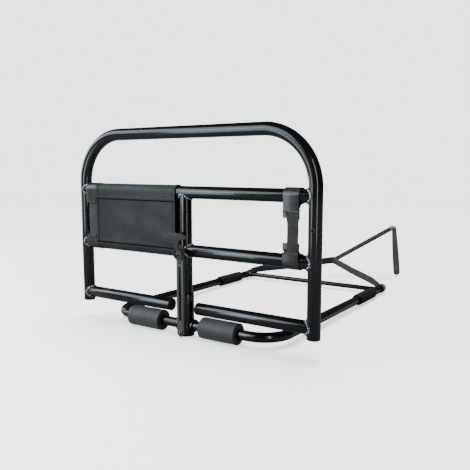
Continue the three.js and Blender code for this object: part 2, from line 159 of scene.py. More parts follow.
class Look:
    """A Principled material with short calls for the nodes that feed it."""

    def __init__(self, name, **constants):
        self.material = bpy.data.materials.new(name)
        self.material.use_nodes = True
        self.nodes = self.material.node_tree.nodes
        self.links = self.material.node_tree.links
        self.shader = self.nodes["Principled BSDF"]
        self.height = None
        for socket, value in constants.items():
            self.set(socket.replace("_", " ").title().replace("Ior", "IOR"), value)

    def set(self, socket, value):
        self.feed(self.shader.inputs[socket], value)

    def node(self, kind, **inputs):
        made = self.nodes.new(kind)
        for socket, value in inputs.items():
            self.feed(made.inputs[socket.replace("_", " ").title()], value)
        return made

    def feed(self, socket, value):
        if isinstance(value, bpy.types.NodeSocket):
            self.links.new(value, socket)
        else:
            socket.default_value = value

    def place(self, stretch=(1, 1, 1), uv=False):
        source = self.nodes.new("ShaderNodeTexCoord").outputs["UV" if uv else "Object"]
        return self.node("ShaderNodeMapping", vector=source, scale=stretch).outputs["Vector"]

    def noise(self, scale, detail, stretch=(1, 1, 1)):
        made = self.node("ShaderNodeTexNoise", vector=self.place(stretch), scale=scale, detail=detail)
        return made.outputs["Fac"]

    def cells(self, scale):
        return self.node("ShaderNodeTexVoronoi", vector=self.place(), scale=scale).outputs["Distance"]

    def math(self, operation, a, b=0.0):
        made = self.nodes.new("ShaderNodeMath")
        made.operation = operation
        self.feed(made.inputs[0], a)
        self.feed(made.inputs[1], b)
        return made.outputs[0]

    def spread(self, value, to_low, to_high, from_low=0.3, from_high=0.7):
        made = self.node("ShaderNodeMapRange", value=value, from_min=from_low, from_max=from_high,
                         to_min=to_low, to_max=to_high)
        return made.outputs["Result"]

    def mix(self, amount, first, second):
        made = self.nodes.new("ShaderNodeMix")
        made.data_type = "RGBA"
        self.feed(made.inputs["Factor"], amount)
        for socket, value in (("A", first), ("B", second)):
            target = next(i for i in made.inputs if i.name == socket and i.type == "RGBA")
            self.feed(target, rgba(value))
        return next(o for o in made.outputs if o.type == "RGBA")

    def colour(self, value):
        self.set("Base Color", rgba(value))

    def mottle(self, scale, detail, dark, light):
        """A base colour that wanders between two shades."""
        self.colour(self.mix(self.noise(scale, detail), dark, light))

    def patchy(self, scale, detail, smooth, rough):
        """A roughness that wanders between two values."""
        self.set("Roughness", self.spread(self.noise(scale, detail), smooth, rough))

    def part(self, vector, axis):
        """One component of a vector."""
        return self.node("ShaderNodeSeparateXYZ", vector=vector).outputs[axis]

    def bump(self, height, distance, strength):
        made = self.node("ShaderNodeBump", height=height, distance=distance, strength=strength)
        if self.height is not None:
            self.links.new(self.height, made.inputs["Normal"])
        self.height = made.outputs["Normal"]
        self.set("Normal", self.height)


def gloss_black():
    look = Look("gloss_black", coat_weight=0.5, coat_roughness=0.05, specular_ior_level=0.55)
    shade = look.spread(look.noise(18, 3), 0, 1)
    look.colour(look.mix(shade, (0.0012, 0.0014, 0.0018), (0.0026, 0.0028, 0.0034)))
    look.patchy(60, 4, 0.17, 0.27)
    look.bump(look.noise(260, 2), 0.00004, 0.35)
    return look.material


def weld_paint():
    look = Look("weld_paint", metallic=0.75, coat_weight=0.8, coat_roughness=0.05)
    fleck = look.spread(look.noise(260, 3), 0, 1, 0.42, 0.62)
    look.colour(look.mix(fleck, (0.03, 0.032, 0.036), (0.8, 0.85, 0.9)))
    look.patchy(400, 2, 0.12, 0.35)
    look.bump(look.noise(900, 3), 0.0004, 0.7)
    return look.material


def plain_look(name, mottle, bump, patchy=None, **constants):
    """A mottled colour, one noise bump, and a roughness that is either patchy or one of the constants."""
    look = Look(name, **constants)
    look.mottle(*mottle)
    if patchy:
        look.patchy(*patchy)
    scale, detail, distance, strength = bump
    look.bump(look.noise(scale, detail), distance, strength)
    return look.material


def zinc():
    look = Look("bright_zinc", metallic=1.0)
    look.mottle(160, 4, (0.42, 0.43, 0.45), (0.68, 0.69, 0.7))
    look.patchy(500, 3, 0.22, 0.42)
    look.bump(look.noise(1500, 2, stretch=(1, 1, 0.1)), 0.00004, 0.5)
    return look.material


def moulded_plastic(name, dark, light, gloss):
    look = Look(name, specular_ior_level=gloss)
    look.mottle(45, 3, dark, light)
    look.patchy(700, 2, 0.36, 0.52)
    look.bump(look.cells(1400), 0.00012, 0.45)
    return look.material


def foam():
    """Grey skin, with painted shade: the ends, which face along x, are painted near black."""
    look = Look("closed_cell_foam", specular_ior_level=0.4, sheen_weight=0.2, sheen_roughness=0.5)
    skin = look.mix(look.spread(look.noise(40, 4), 0, 1), (0.034, 0.036, 0.038), (0.047, 0.050, 0.052))
    # painted shade: surfaces that face along x, the pad's ends, are made near black
    facing = look.part(look.nodes.new("ShaderNodeTexCoord").outputs["Normal"], "X")
    painted_shade_on_ends = look.spread(look.math("ABSOLUTE", facing), 0, 1, 0.6, 0.8)
    look.colour(look.mix(painted_shade_on_ends, skin, (0.007, 0.007, 0.008)))
    look.patchy(300, 3, 0.46, 0.62)
    look.bump(look.cells(1500), 0.0002, 0.35)
    look.bump(look.noise(90, 3), 0.0003, 0.3)
    return look.material


def weave(look, threads_u, threads_v):
    """A plain weave from two crossed waves along the piece's UVs, which are in metres."""
    u = look.node("ShaderNodeTexWave", vector=look.place(uv=True), scale=threads_u / (2 * pi))
    v = look.node("ShaderNodeTexWave", vector=look.place(uv=True), scale=threads_v / (2 * pi))
    v.bands_direction = "Y"
    return look.math("MULTIPLY", u.outputs["Fac"], v.outputs["Fac"])


def cover_cloth():
    look = Look("coated_cloth", sheen_weight=0.06, sheen_roughness=0.5, specular_ior_level=0.3)
    mottle = look.mix(look.spread(look.noise(9, 3), 0, 1), (0.0165, 0.0172, 0.0175), (0.0285, 0.0293, 0.030))
    threads = weave(look, 900, 900)
    look.colour(look.mix(look.math("MULTIPLY", threads, 0.4), mottle, (0.008, 0.009, 0.0095)))
    look.patchy(40, 4, 0.40, 0.56)
    look.bump(threads, 0.00015, 0.5)
    look.bump(look.noise(26, 4), 0.0022, 0.45)
    return look.material


def grey_vinyl():
    look = Look("satin_vinyl", specular_ior_level=0.5, coat_weight=0.5, coat_roughness=0.16)
    look.mottle(60, 4, (0.019, 0.0175, 0.016), (0.032, 0.0295, 0.027))
    look.patchy(150, 4, 0.26, 0.4)
    look.bump(weave(look, 1100, 1100), 0.0001, 0.5)
    look.bump(look.noise(260, 3), 0.00025, 0.5)
    return look.material


def webbing(name, dark, light, ribs=560, dark_run=0.0):
    """Woven tape, ribbed and unevenly worn. It is darker for the first dark_run metres."""
    look = Look(name, sheen_weight=0.3, sheen_roughness=0.45, specular_ior_level=0.35)
    threads = weave(look, ribs, ribs * 1.7)
    shade = look.mix(threads, dark, light)
    worn = look.mix(look.spread(look.noise(35, 4), 0, 0.6), shade, tuple(1.3 * c for c in light))
    if dark_run:
        along = look.part(look.place(uv=True), "X")
        past_run = look.spread(along, 0, 1, dark_run - 5 * MM, dark_run + 5 * MM)
        darker = look.mix(threads, (0.006, 0.006, 0.007), (0.016, 0.016, 0.017))
        worn = look.mix(past_run, darker, worn)
    look.colour(worn)
    look.patchy(250, 3, 0.65, 0.85)
    look.bump(threads, 0.0004, 0.7)
    return look.material


def floor_white():
    """A bright white sweep to the eye, and mid grey in reflections, as in a dark studio."""
    look = Look("floor_white", roughness=0.7, specular_ior_level=0.1)
    rays = look.nodes.new("ShaderNodeLightPath")
    seen = rays.outputs["Is Camera Ray"]
    grain = look.mix(look.noise(2, 2), (0.90, 0.90, 0.90), (0.92, 0.92, 0.92))
    look.colour(look.mix(seen, (0.10, 0.103, 0.108), grain))
    look.set("Emission Color", (1, 1, 1, 1))
    look.set("Emission Strength", seen)
    return look.material


BLACK = gloss_black()
WELD = weld_paint()
ZINC = zinc()
DARK_STEEL = plain_look("dark_steel", (220, 4, (0.02, 0.021, 0.024), (0.06, 0.06, 0.065)),
                        (1200, 2, 0.00005, 0.5), (400, 3, 0.16, 0.34), metallic=1.0)
PLASTIC = moulded_plastic("moulded_plastic", (0.034, 0.032, 0.030), (0.056, 0.053, 0.050), 0.5)
PLUG = moulded_plastic("plug_plastic", (0.004, 0.004, 0.0045), (0.009, 0.009, 0.010), 0.3)
STRIP = plain_look("satin_strip", (60, 4, (0.048, 0.048, 0.048), (0.074, 0.073, 0.073)),
                   (500, 3, 0.0001, 0.5), (300, 3, 0.30, 0.44), specular_ior_level=0.6)
SEAT = plain_look("worn_washer", (220, 4, (0.11, 0.112, 0.115), (0.24, 0.243, 0.25)),
                  (900, 2, 0.00005, 0.5), (500, 3, 0.24, 0.42), metallic=0.6)
NYLON = plain_look("pale_nylon", (90, 3, (0.20, 0.19, 0.17), (0.27, 0.26, 0.23)),
                   (900, 2, 0.00005, 0.4), roughness=0.4, subsurface_weight=0.1)
FOAM = foam()
RUBBER = plain_look("grip_rubber", (50, 4, (0.009, 0.0083, 0.0077), (0.02, 0.019, 0.0175)),
                    (700, 3, 0.0002, 0.5), (200, 3, 0.62, 0.85), specular_ior_level=0.4)
CLOTH = cover_cloth()
VINYL = grey_vinyl()
ELASTIC = webbing("elastic_band", (0.018, 0.0175, 0.017), (0.046, 0.044, 0.042), 700)
WEBBING = webbing("black_webbing", (0.012, 0.012, 0.014), (0.04, 0.04, 0.043))
THREAD = plain_look("sewing_thread", (900, 3, (0.016, 0.018, 0.02), (0.04, 0.042, 0.045)),
                    (4000, 2, 0.0001, 0.5), roughness=0.6, sheen_weight=0.4)
# the sewing thread's colours times 3.2: a lit copy, painted light along the strap loops' hems
THREAD_PAINTED_LIGHT = plain_look("thread_painted_light", (900, 3, (0.0512, 0.0576, 0.064), (0.128, 0.1344, 0.144)),
                         (4000, 2, 0.0001, 0.5), roughness=0.6, sheen_weight=0.4)
# near black: painted shadow lines on the cover, and the left band's spare end
BLACK_AND_PAINTED_SHADOW = plain_look("near_black_and_painted_shadow", (300, 3, (0.0008, 0.0008, 0.0009), (0.0022, 0.0022, 0.0024)),
                    (1200, 2, 0.0001, 0.5), roughness=0.8, specular_ior_level=0.12)
# the black webbing made about four times lighter: painted light on the doubled end that hangs from the fold;
# its first 250 mm, the run, stays near black
TAIL_WEB_PAINTED_LIGHT = webbing("tail_webbing_painted_light", (0.068, 0.067, 0.070), (0.145, 0.142, 0.148), dark_run=250 * MM)

# ---- mesh helpers


def finish_mesh(obj, sharp=32):
    """Outward normals, and smooth shading that breaks at sharp edges."""
    mesh = bmesh.new()
    mesh.from_mesh(obj.data)
    bmesh.ops.recalc_face_normals(mesh, faces=mesh.faces)
    mesh.to_mesh(obj.data)
    mesh.free()
    obj.data.shade_smooth()
    obj.data.set_sharp_from_angle(angle=radians(sharp))


def solid(name, shape, sharp=32):
    """An object from (vertices, faces) or (vertices, faces, uvs)."""
    data = bpy.data.meshes.new(name)
    data.from_pydata([tuple(v) for v in shape[0]], [], shape[1])
    if len(shape) > 2:
        layer = data.uv_layers.new(name="UVMap")
        for loop in data.loops:
            layer.data[loop.index].uv = shape[2][loop.vertex_index]
    obj = linked(name, data)
    finish_mesh(obj, sharp)
    return obj


def piece(name, shape, look, body, *nodes, sharp=32):
    """An object that rides on a body and stands for its CAD nodes."""
    obj = solid(name, shape, sharp)
    dress(obj, look, body, *nodes)
    return obj


def dress(obj, look, body, *nodes):
    obj.data.materials.clear()
    obj.data.materials.append(look)
    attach(obj, body)
    if nodes:
        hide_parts(*nodes)


def apply_modifiers(obj):
    graph = bpy.context.evaluated_depsgraph_get()
    baked = bpy.data.meshes.new_from_object(obj.evaluated_get(graph))
    obj.modifiers.clear()
    obj.data = baked


def carve(obj, *shapes):
    """Cuts closed shapes out of obj."""
    cutters = [solid("cutter", shape[:2]) for shape in shapes]
    for cutter in cutters:
        step = obj.modifiers.new("cut", "BOOLEAN")
        step.operation = "DIFFERENCE"
        step.solver = "EXACT"
        step.object = cutter
    apply_modifiers(obj)
    for cutter in cutters:
        bpy.data.objects.remove(cutter)
    finish_mesh(obj)


def merged(shapes):
    verts, faces, uvs = [], [], []
    for shape in shapes:
        start = len(verts)
        verts += list(shape[0])
        faces += [tuple(start + i for i in face) for face in shape[1]]
        uvs += list(shape[2]) if len(shape) > 2 else [(0, 0)] * len(shape[0])
    return verts, faces, uvs


def ring(radius, sides=48):
    turns = [2 * pi * i / sides for i in range(sides)]
    return [(radius * cos(t), radius * sin(t)) for t in turns]


def flat_arc(x, z, radius, begin, end, step):
    """Points on an arc about (x, z), from begin to end in whole degrees."""
    turns = [radians(a) for a in range(begin, end + 1, step)]
    return [(x + radius * cos(t), z + radius * sin(t)) for t in turns]


def measured(points):
    """The distance along a path to each of its points."""
    lengths = [0.0]
    for a, b in zip(points, points[1:]):
        lengths.append(lengths[-1] + dist(a, b))
    return lengths


def tangents(points):
    ways = []
    for i in range(len(points)):
        before, after = points[max(i - 1, 0)], points[min(i + 1, len(points) - 1)]
        into = (points[i] - before).normalized() if i else None
        out = (after - points[i]).normalized() if i < len(points) - 1 else None
        ways.append(((into or out) + (out or into)).normalized())
    return ways


def carried(points, start):
    """A direction carried along the path without twist."""
    ways = tangents(points)
    side = (start - ways[0] * start.dot(ways[0])).normalized()
    sides = [side]
    for before, here in zip(ways, ways[1:]):
        side = before.rotation_difference(here) @ side
        sides.append((side - here * side.dot(here)).normalized())
    return sides


def sweep(points, sections, first, caps=True):
    """Closed sections run along points. first is the sections' first axis, once or for each point."""
    points = [Vector(p) for p in points]
    ways = tangents(points)
    axes = first if isinstance(first, list) else carried(points, first)
    if not isinstance(sections[0], list):
        sections = [sections] * len(points)
    count = len(sections[0])
    round_it = measured(sections[0])
    verts, uvs = [], []
    for point, way, axis, section, along in zip(points, ways, axes, sections, measured(points)):
        other = way.cross(axis).normalized()
        verts += [point + axis * x + other * y for x, y in section]
        uvs += [(along, around) for around in round_it]
    faces = []
    for start in range(0, (len(points) - 1) * count, count):
        for j in range(count):
            k = (j + 1) % count
            faces.append((start + j, start + k, start + count + k, start + count + j))
    if caps:
        last = (len(points) - 1) * count
        faces += [tuple(range(count))[::-1], tuple(range(last, last + count))]
    return verts, faces, uvs


def tube(points, radius, sides=56):
    """A round bar along points, with a small round-over at both ends."""
    edge = 0.7 * MM
    points = [Vector(p) for p in points]
    start, end = (points[1] - points[0]).normalized(), (points[-1] - points[-2]).normalized()
    path = [points[0], points[0] + start * edge * 0.3, points[0] + start * edge]
    path += points[1:-1]
    path += [points[-1] - end * edge, points[-1] - end * edge * 0.3, points[-1]]
    tips = [radius - edge, radius - edge * 0.3]
    radii = tips + [radius] * (len(path) - 4) + tips[::-1]
    return sweep(path, [ring(r, sides) for r in radii], start.orthogonal().normalized())


def arc(centre, radius, across, up, begin, end):
    turns = [radians(begin + (end - begin) * i / 24) for i in range(25)]
    return [Vector(centre) + across * radius * cos(t) + up * radius * sin(t) for t in turns]


def lathe(profile, base, axis, sides=64):
    """Turns (along, radius) points about an axis. A profile that starts off the axis closes on itself."""
    across = axis.orthogonal().normalized()
    other = axis.cross(across)
    verts, faces, places = [], [], []
    for along, radius in profile:
        if radius < 1e-9:
            places.append([len(verts)] * sides)
            verts.append(base + axis * along)
            continue
        places.append(list(range(len(verts), len(verts) + sides)))
        for i in range(sides):
            t = 2 * pi * i / sides
            verts.append(base + axis * along + (across * cos(t) + other * sin(t)) * radius)
    pairs = list(zip(places, places[1:]))
    if profile[0][1] > 1e-9:
        pairs.append((places[-1], places[0]))
    for first, second in pairs:
        for i in range(sides):
            k = (i + 1) % sides
            faces.append(tuple(dict.fromkeys((first[i], first[k], second[k], second[i]))))
    return verts, faces, [(v.dot(axis), 0.0) for v in verts]


def rod(base, axis, radius, length, sides=24):
    """A plain closed cylinder."""
    return lathe([(0, 0), (0, radius), (length, radius), (length, 0)], base, axis, sides)


def pipe(begin, end, outer, inner, edge=0.8 * MM, sides=64):
    """A short thick ring or sleeve with rounded edges, between two points."""
    axis = end - begin
    length = axis.length
    axis.normalize()
    turns = [pi / 2 * i / 4 for i in range(4, -1, -1)]
    left = [(edge * (1 - sin(t)), outer - edge * (1 - cos(t))) for t in turns]
    right = [(length - along, radius) for along, radius in reversed(left)]
    return lathe([(0, inner)] + left + right + [(length, inner)], begin, axis, sides)


def button(base, axis, radius, height, edge):
    """A round head with a rounded rim, closed at both ends."""
    rim = [(height - edge + edge * sin(t), radius - edge + edge * cos(t))
           for t in (pi / 2 * i / 5 for i in range(6))]
    return lathe([(0, 0), (0, radius)] + rim + [(height, 0)], base, axis, 48)


def slab(low_corner, high_corner):
    (a, b, c), (d, e, f) = low_corner, high_corner
    verts = [Vector((x, y, z)) for z in (c, f) for x, y in ((a, b), (d, b), (d, e), (a, e))]
    faces = [(0, 3, 2, 1), (4, 5, 6, 7), (0, 1, 5, 4), (1, 2, 6, 5), (2, 3, 7, 6), (3, 0, 4, 7)]
    return verts, faces


def plate(outline, thick, origin, across, up):
    """A flat outline made solid, running from origin away from the viewer's side."""
    way = across.cross(up)
    front = [origin + across * x + up * z for x, z in outline]
    count = len(front)
    verts = front + [p - way * thick for p in front]
    faces = [tuple(range(count)), tuple(range(2 * count - 1, count - 1, -1))]
    faces += [(i, i + count, (i + 1) % count + count, (i + 1) % count) for i in range(count)]
    return verts, faces


def soften(obj, width, segments):
    """Rounds the edges of obj."""
    step = obj.modifiers.new("soften", "BEVEL")
    step.width = width
    step.segments = segments
    step.limit_method = "ANGLE"
    step.angle_limit = radians(50)
    step.harden_normals = False
    apply_modifiers(obj)
    finish_mesh(obj, 40)


def bezier(start, control, end):
    """Points after start, up to end, on one quadratic curve."""
    made = []
    for t in (i / 8 for i in range(1, 9)):
        made.append(tuple((1 - t) ** 2 * a + 2 * t * (1 - t) * b + t * t * c
                          for a, b, c in zip(start, control, end)))
    return made


# ---- steel hoop, bars and welds


def saddle_bead(centre, axis, bar_r, target_r, across, bead=2.6 * MM):
    """A clumped weld bead where a bar meets the side of a round tube. across lies along that tube."""
    rng = random.Random(round(1e5 * (centre.x + 3 * centre.y + 7 * centre.z)))
    side = axis.cross(across).normalized()
    round_it = bar_r + 0.2 * bead
    steps = 120
    points, radii = [], []
    for i in range(steps + 1):
        turn = 2 * pi * i / steps
        y = round_it * sin(turn)
        reach = sqrt(max(target_r ** 2 - y ** 2, (0.25 * target_r) ** 2)) + 0.45 * bead
        points.append(centre + axis * reach + side * y + across * round_it * cos(turn))
        radii.append(bead * (1 + 0.22 * sin(22 * turn) + 0.16 * rng.uniform(-1, 1)))
    points[-1] = points[0].copy()
    radii[-1] = radii[0]
    return sweep(points, [ring(r, 10) for r in radii], across.cross(tangents(points)[0]), caps=False)


def add_hoop():
    shoulder_x, shoulder_z = LEG_X - TOP_BEND, TOP_Z - TOP_BEND
    path = [Vector((-LEG_X, 0, LEG_FOOT))]
    path += arc((-shoulder_x, 0, shoulder_z), TOP_BEND, X, Z, 180, 90)
    path += arc((shoulder_x, 0, shoulder_z), TOP_BEND, X, Z, 90, 0)
    path.append(Vector((LEG_X, 0, LEG_FOOT)))
    hoop = piece("hoop_tube", tube(path, RAIL_R), BLACK, "rail", "rail_loop")
    faces = [Vector((x, -RAIL_R, LEG_HOLE_Z)) for x in (-LEG_X, LEG_X)]
    carve(hoop, *(rod(face - Y * 2 * MM, Y, LEG_HOLE_R, 10 * MM) for face in faces))
    rims = []
    for face in faces:
        begin, end = face - Y * 0.1 * MM, face + Y * 1.1 * MM
        rims.append(pipe(begin, end, LEG_HOLE_R + 0.6 * MM, LEG_HOLE_R - 0.1 * MM, 0.25 * MM, 32))
    piece("leg_hole_rims", merged(rims), SEAT, "rail")


POST_IN_SLEEVE = 60 * MM


def add_bars():
    spans = {
        "upper_crossbar": (-LEG_X, LEG_X, HIGH_BAR),
        "lower_crossbar_left": (-LEG_X, 0, LOW_BAR),
        "lower_crossbar_right": (0, LEG_X, LOW_BAR),
        "bottom_stub_left": (-LEG_X, high("bottom_stub_left").x, STUB_Z),
        "bottom_stub_right": (low("bottom_stub_right").x, LEG_X, STUB_Z),
    }
    for node, (begin, end, z) in spans.items():
        bar = tube([(begin, 0, z), (end, 0, z)], RAIL_R - 0.05 * MM)
        piece(node + "_tube", bar, BLACK, "rail", node)
    post = tube([(0, 0, SLEEVE_TOP - POST_IN_SLEEVE), (0, 0, HIGH_BAR)], RAIL_R - 0.1 * MM)
    piece("post_tube", post, BLACK, "rail", "centre_post")


def add_welds():
    beads = []
    for x, way in ((-LEG_X, X), (LEG_X, -X)):
        for z in (HIGH_BAR, LOW_BAR, STUB_Z):
            beads.append(saddle_bead(Vector((x, 0, z)), way, RAIL_R, RAIL_R, Z))
    for way in (X, -X):
        beads.append(saddle_bead(Vector((0, 0, LOW_BAR)), way, RAIL_R, RAIL_R, Z))
    beads.append(saddle_bead(Vector((0, 0, HIGH_BAR)), -Z, RAIL_R, RAIL_R, X))
    piece("frame_welds", merged(beads), WELD, "rail", sharp=80)
    rear = [saddle_bead(on_side(side, REAR_Y), -X * way, REAR_R, BASE_R, Y, 1.4 * MM)
            for side, way in SIDES.items()]
    piece("base_welds", merged(rear), WELD, "base", sharp=80)


PLUG_HEAD = 2.7 * MM
TUBE_WALL = 1.8 * MM


def add_plug(name, node, axis):
    """A rounded head on the tube's end, and the shank inside the tube."""
    reach = axis * abs((high(node) - low(node)).dot(axis)) / 2
    near, far = middle(node) - reach, middle(node) + reach
    head = button(far - axis * PLUG_HEAD, axis, RAIL_R, PLUG_HEAD, 1.4 * MM)
    shank = button(near, axis, RAIL_R - TUBE_WALL, (far - near).length - PLUG_HEAD, 0.5 * MM)
    piece(name, merged([head, shank]), PLUG, "rail", node)


def add_plugs():
    for side, way in SIDES.items():
        add_plug(f"leg_foot_plug_{side}", f"leg_plug_{side}", -Z)
        add_plug(f"stub_end_plug_{side}", f"stub_cap_{side}", -X * way)


# ---- post foot, channel and release

CHANNEL_BACK = high("front_channel").y
CHANNEL_FRONT = low("front_channel").y
CHANNEL_HALF = high("front_channel").x
CHANNEL_TOP = high("front_channel").z
LOW_BOLT = middle("channel_bolt").z
HANDLE_BOLT = middle("handle_bolt").z
SLEEVE_BORE = 15.6 * MM           # for the front bar and its bush
CHANNEL_CORNER = 3 * MM
CHANNEL_LIP = 1.6 * MM            # the walls beside the groove
CHANNEL_FLOOR = 1.4 * MM
CAVITY_HALF = 7.3 * MM
CAVITY_FOOT = 46 * MM
GROOVE_WIDE, GROOVE_FOOT, GROOVE_HEAD = 7 * MM, 42 * MM, 183 * MM
HANDLE_SLOT_WIDE = 7.2 * MM
DRAIN_HOLE_R = 2.2 * MM
DRAIN_HOLE_Z = 192 * MM
HANDLE_LEAN = 13                  # degrees
HANDLE_THICK = 6.5 * MM
BOLT_HOLE_R, BOLT_RECESS_R = 3.3 * MM, 9.4 * MM


def add_sleeve():
    ends = Vector((0, 0, 0.2 * MM)), Vector((0, 0, SLEEVE_TOP))
    sleeve = pipe(*ends, SLEEVE_R, RAIL_R + 0.05 * MM, 1.1 * MM)
    sleeve = piece("post_sleeve", sleeve, BLACK, "rail", "pivot_sleeve")
    carve(sleeve, rod(Vector((-30 * MM, 0, BASE_Z)), X, SLEEVE_BORE, 60 * MM, 64))
    for side in SIDES:
        node = f"retaining_collar_{side}"
        collar = pipe(*front_span(node), COLLAR_R, BASE_BORE)
        piece(f"shaft_collar_{side}", collar, BLACK, "base", node)


def slot_cutter(width, z_low, z_high):
    """A slot with round ends, from in front of the channel to its floor."""
    radius = width / 2
    outline = flat_arc(0, z_high - radius, radius, 0, 180, 15)
    outline += flat_arc(0, z_low + radius, radius, 180, 360, 15)
    front = CHANNEL_FRONT - 2 * MM
    return plate(outline, CHANNEL_BACK - CHANNEL_FLOOR - front, Vector((0, front, 0)), X, Z)


def add_channel():
    side, top = CHANNEL_HALF - CHANNEL_CORNER, CHANNEL_TOP - CHANNEL_CORNER
    outline = flat_arc(0, LOW_BOLT, CHANNEL_HALF, 180, 360, 9)
    outline += flat_arc(side, top, CHANNEL_CORNER, 0, 90, 18)
    outline += flat_arc(-side, top, CHANNEL_CORNER, 90, 180, 18)
    shape = plate(outline, CHANNEL_BACK - CHANNEL_FRONT, Vector((0, CHANNEL_FRONT, 0)), X, Z)
    bar = piece("release_channel", shape, STRIP, "rail", "front_channel")
    open_top = CHANNEL_TOP + 9 * MM
    cavity = slab((-CAVITY_HALF, CHANNEL_FRONT + CHANNEL_LIP, CAVITY_FOOT),
                  (CAVITY_HALF, CHANNEL_BACK - CHANNEL_FLOOR, open_top))
    drain = rod(Vector((0, CHANNEL_FRONT - 1 * MM, DRAIN_HOLE_Z)), Y, DRAIN_HOLE_R, 4 * MM, 20)
    groove = slot_cutter(GROOVE_WIDE, GROOVE_FOOT, GROOVE_HEAD)
    handle_slot = slot_cutter(HANDLE_SLOT_WIDE, HANDLE_BOLT - 5 * MM, open_top)
    carve(bar, groove, handle_slot, cavity, drain)
    soften(bar, 0.7 * MM, 3)


def handle_outline():
    """The eye at the foot, a straight neck and two thin swept wings, as (across, up) points."""
    eye = 14.5
    right = [(0, -eye)] + flat_arc(0, 0, eye, -80, 50, 10)
    curves = (((7, 15), (7, 20)), ((7, 25), (7, 25)), ((7.5, 36), (17, 40)), ((25, 42.5), (32, 42.5)),
              ((36.5, 42.5), (34.5, 46.5)), ((28, 53.5), (13, 55.5)), ((5, 56), (0, 55.5)))
    for control, end in curves:
        right += bezier(right[-1], control, end)
    return [(x * MM, z * MM) for x, z in right + [(-x, z) for x, z in reversed(right[1:-1])]]


def add_handle():
    lean = radians(HANDLE_LEAN)
    up = Vector((0, -sin(lean), cos(lean)))
    front = Vector((0, CHANNEL_FRONT - 3.8 * MM, HANDLE_BOLT)) + X.cross(up) * HANDLE_THICK
    shape = plate(handle_outline(), HANDLE_THICK, front, X, up)
    grip = piece("release_grip", shape, PLASTIC, "release", "release_handle")
    bolt_hole = rod(Vector((0, -55 * MM, HANDLE_BOLT)), Y, BOLT_HOLE_R, 40 * MM)
    recess = rod(Vector((0, front.y - 15.6 * MM, HANDLE_BOLT)), Y, BOLT_RECESS_R, 20 * MM, 40)
    carve(grip, bolt_hole, recess)
    soften(grip, 1.3 * MM, 4)


def domed_bolt(name, node, head_r, seat_r, sunk, body, glint_dot_r, seat_look):
    """A dark domed bolt with a bright zinc dot at its centre as a painted glint, sitting in a rimmed washer.
    """
    centre = Vector((0, low(node).y + sunk, middle(node).z))
    piece(name, button(centre + Y * 2.6 * MM, -Y, head_r, 2.6 * MM, 2.2 * MM), DARK_STEEL, body, node)
    # painted glint: a bright zinc dot where the domed head's highlight falls
    dot = button(centre + Y * 1.0 * MM, -Y, glint_dot_r, 1.5 * MM, 0.9 * MM)
    shank = button(centre + Y * 2.5 * MM, Y, 3 * MM, high(node).y - centre.y - 2.5 * MM, 0.4 * MM)
    piece(name + "_shank", merged([dot, shank]), ZINC, body)
    seat = pipe(centre + Y * 0.9 * MM, centre + Y * 3.2 * MM, seat_r, head_r + 0.3 * MM, 0.6 * MM)
    piece(name + "_seat", seat, seat_look, body)


# ---- base


def add_base():
    corner = SIDE_X - BASE_BEND
    path = [on_side("left", BASE_END_Y)]
    path += arc((-corner, BASE_BEND, BASE_Z), BASE_BEND, X, Y, 180, 270)
    path += arc((corner, BASE_BEND, BASE_Z), BASE_BEND, X, Y, 270, 360)
    path.append(on_side("right", BASE_END_Y))
    piece("base_tube", tube(path, BASE_R), BLACK, "base", "base_frame")
    rear = tube([on_side("left", REAR_Y), on_side("right", REAR_Y)], REAR_R - 0.05 * MM, 40)
    piece("rear_bar", rear, BLACK, "base", "rear_crossbar")
    for side in SIDES:
        pad = f"foam_pad_{side}"
        soft = piece(f"foam_roll_{side}", foam_roll(*front_span(pad), BASE_Z), FOAM, "base", pad)
        grip = f"rear_grip_{side}"
        sleeve = pipe(*side_span(side, grip), GRIP_R, BASE_BORE, 2 * MM)
        piece(f"grip_sleeve_{side}", sleeve, RUBBER, "base", grip)
        plug = button(on_side(side, BASE_END_Y), Y, BASE_R, 3 * MM, 1.5 * MM)
        piece(f"tube_end_plug_{side}", plug, PLUG, "base", f"rear_plug_{side}")


def foam_roll(begin, end, radius):
    """A foam sleeve: rounded rims, a soft dished end and a faintly uneven skin."""
    axis = (end - begin).normalized()
    length = (end - begin).length
    rim = 1.2 * MM
    steps = 26
    tip = [(rim, BASE_BORE), (0.3 * MM, BASE_BORE + 3 * MM), (0, radius - 2 * rim)]
    for i in range(6):
        t = pi / 2 * i / 5
        tip.append((rim - rim * cos(t), radius - rim + rim * sin(t)))
    skin = [(rim + (length - 2 * rim) * i / steps, radius) for i in range(1, steps)]
    profile = tip + skin + [(length - along, r) for along, r in reversed(tip)]
    verts, faces, uvs = lathe(profile, begin, axis, 72)
    for vert in verts:
        arm = vert - begin - axis * (vert - begin).dot(axis)
        if arm.length > radius * 0.8:
            vert -= arm.normalized() * (0.35 * MM * (1 + noise.noise(vert * 60)))
    return verts, faces, uvs


# ---- flat webbing


def flat_section(half_width, thick):
    """A flat strap's section: across, then through its thickness, with rounded edges."""
    edge = thick * 0.35
    points = []
    for x, y, begin in ((1, 1, 0), (-1, 1, 90), (-1, -1, 180), (1, -1, 270)):
        points += flat_arc(x * (half_width - edge), y * (thick / 2 - edge), edge, begin, begin + 90, 30)
    return points


def each(value, points):
    """value for each of the points, given once or as a list."""
    return value if isinstance(value, list) else [value] * len(points)


def strap(points, half_widths, thick, across):
    """A flat strap along points. Its widths, thicknesses and width directions are given once or as lists."""
    points = [Vector(p) for p in points]
    axes = [(a - w * a.dot(w)).normalized() for a, w in zip(each(across, points), tangents(points))]
    sizes = zip(each(half_widths, points), each(thick, points))
    return sweep(points, [flat_section(w, t) for w, t in sizes], axes)


